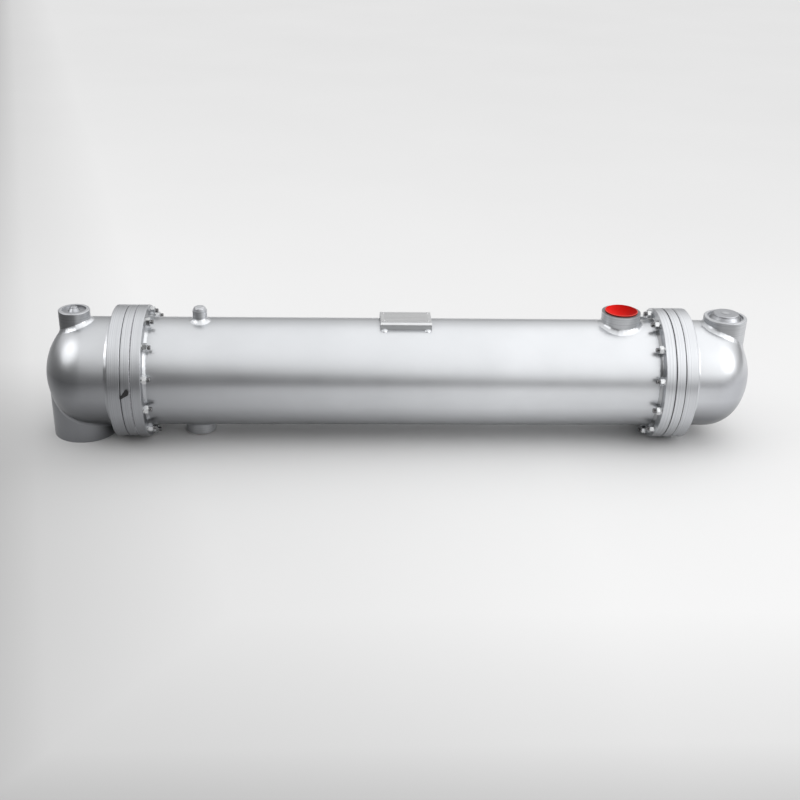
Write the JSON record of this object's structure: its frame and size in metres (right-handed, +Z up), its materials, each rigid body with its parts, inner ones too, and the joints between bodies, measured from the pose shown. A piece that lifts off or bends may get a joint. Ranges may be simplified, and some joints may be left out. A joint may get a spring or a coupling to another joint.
{
  "type": "shell and tube heat exchanger",
  "caption": "Horizontal shell and tube heat exchanger: pipe shell with nozzles, vent and nameplate, bolted flange joints, dished bonnets with plugged bosses and an open bottom nozzle.",
  "frame": {"origin": "middle of the part's box on the floor it lies on", "axes": "+X along the shell towards the bonnet with the larger boss, +Z up, -Y towards the viewer of the picture"},
  "size_m": [1.789, 0.333, 0.34],
  "materials": {
    "silver_paint": "satin aluminium paint",
    "painted_plug": "satin aluminium paint",
    "gasket": "matt",
    "red_plug": "soft gloss",
    "tube": "drawn",
    "nameplate": "satin"
  },
  "bodies": {
    "root": {"shell": "silver_paint", "left_shell_flange": "silver_paint", "left_tubesheet": "silver_paint", "left_bonnet_flange": "silver_paint", "left_bonnet": "silver_paint", "left_boss": "silver_paint", "left_foot_nozzle": "silver_paint", "right_shell_flange": "silver_paint", "right_tubesheet": "silver_paint", "right_bonnet_flange": "silver_paint", "right_bonnet": "silver_paint", "right_boss": "silver_paint", "top_nozzle": "silver_paint", "low_nozzle": "silver_paint", "vent_coupling": "silver_paint", "nameplate_bracket": "silver_paint", "left_boss_plug": "painted_plug", "right_boss_plug": "painted_plug", "vent_plug": "painted_plug", "left_shell_gasket": "gasket", "left_bonnet_gasket": "gasket", "right_shell_gasket": "gasket", "right_bonnet_gasket": "gasket", "top_nozzle_plug": "red_plug", "low_nozzle_plug": "red_plug", "tube_bundle": "tube", "nameplate": "nameplate"}
  },
  "joints": []
}
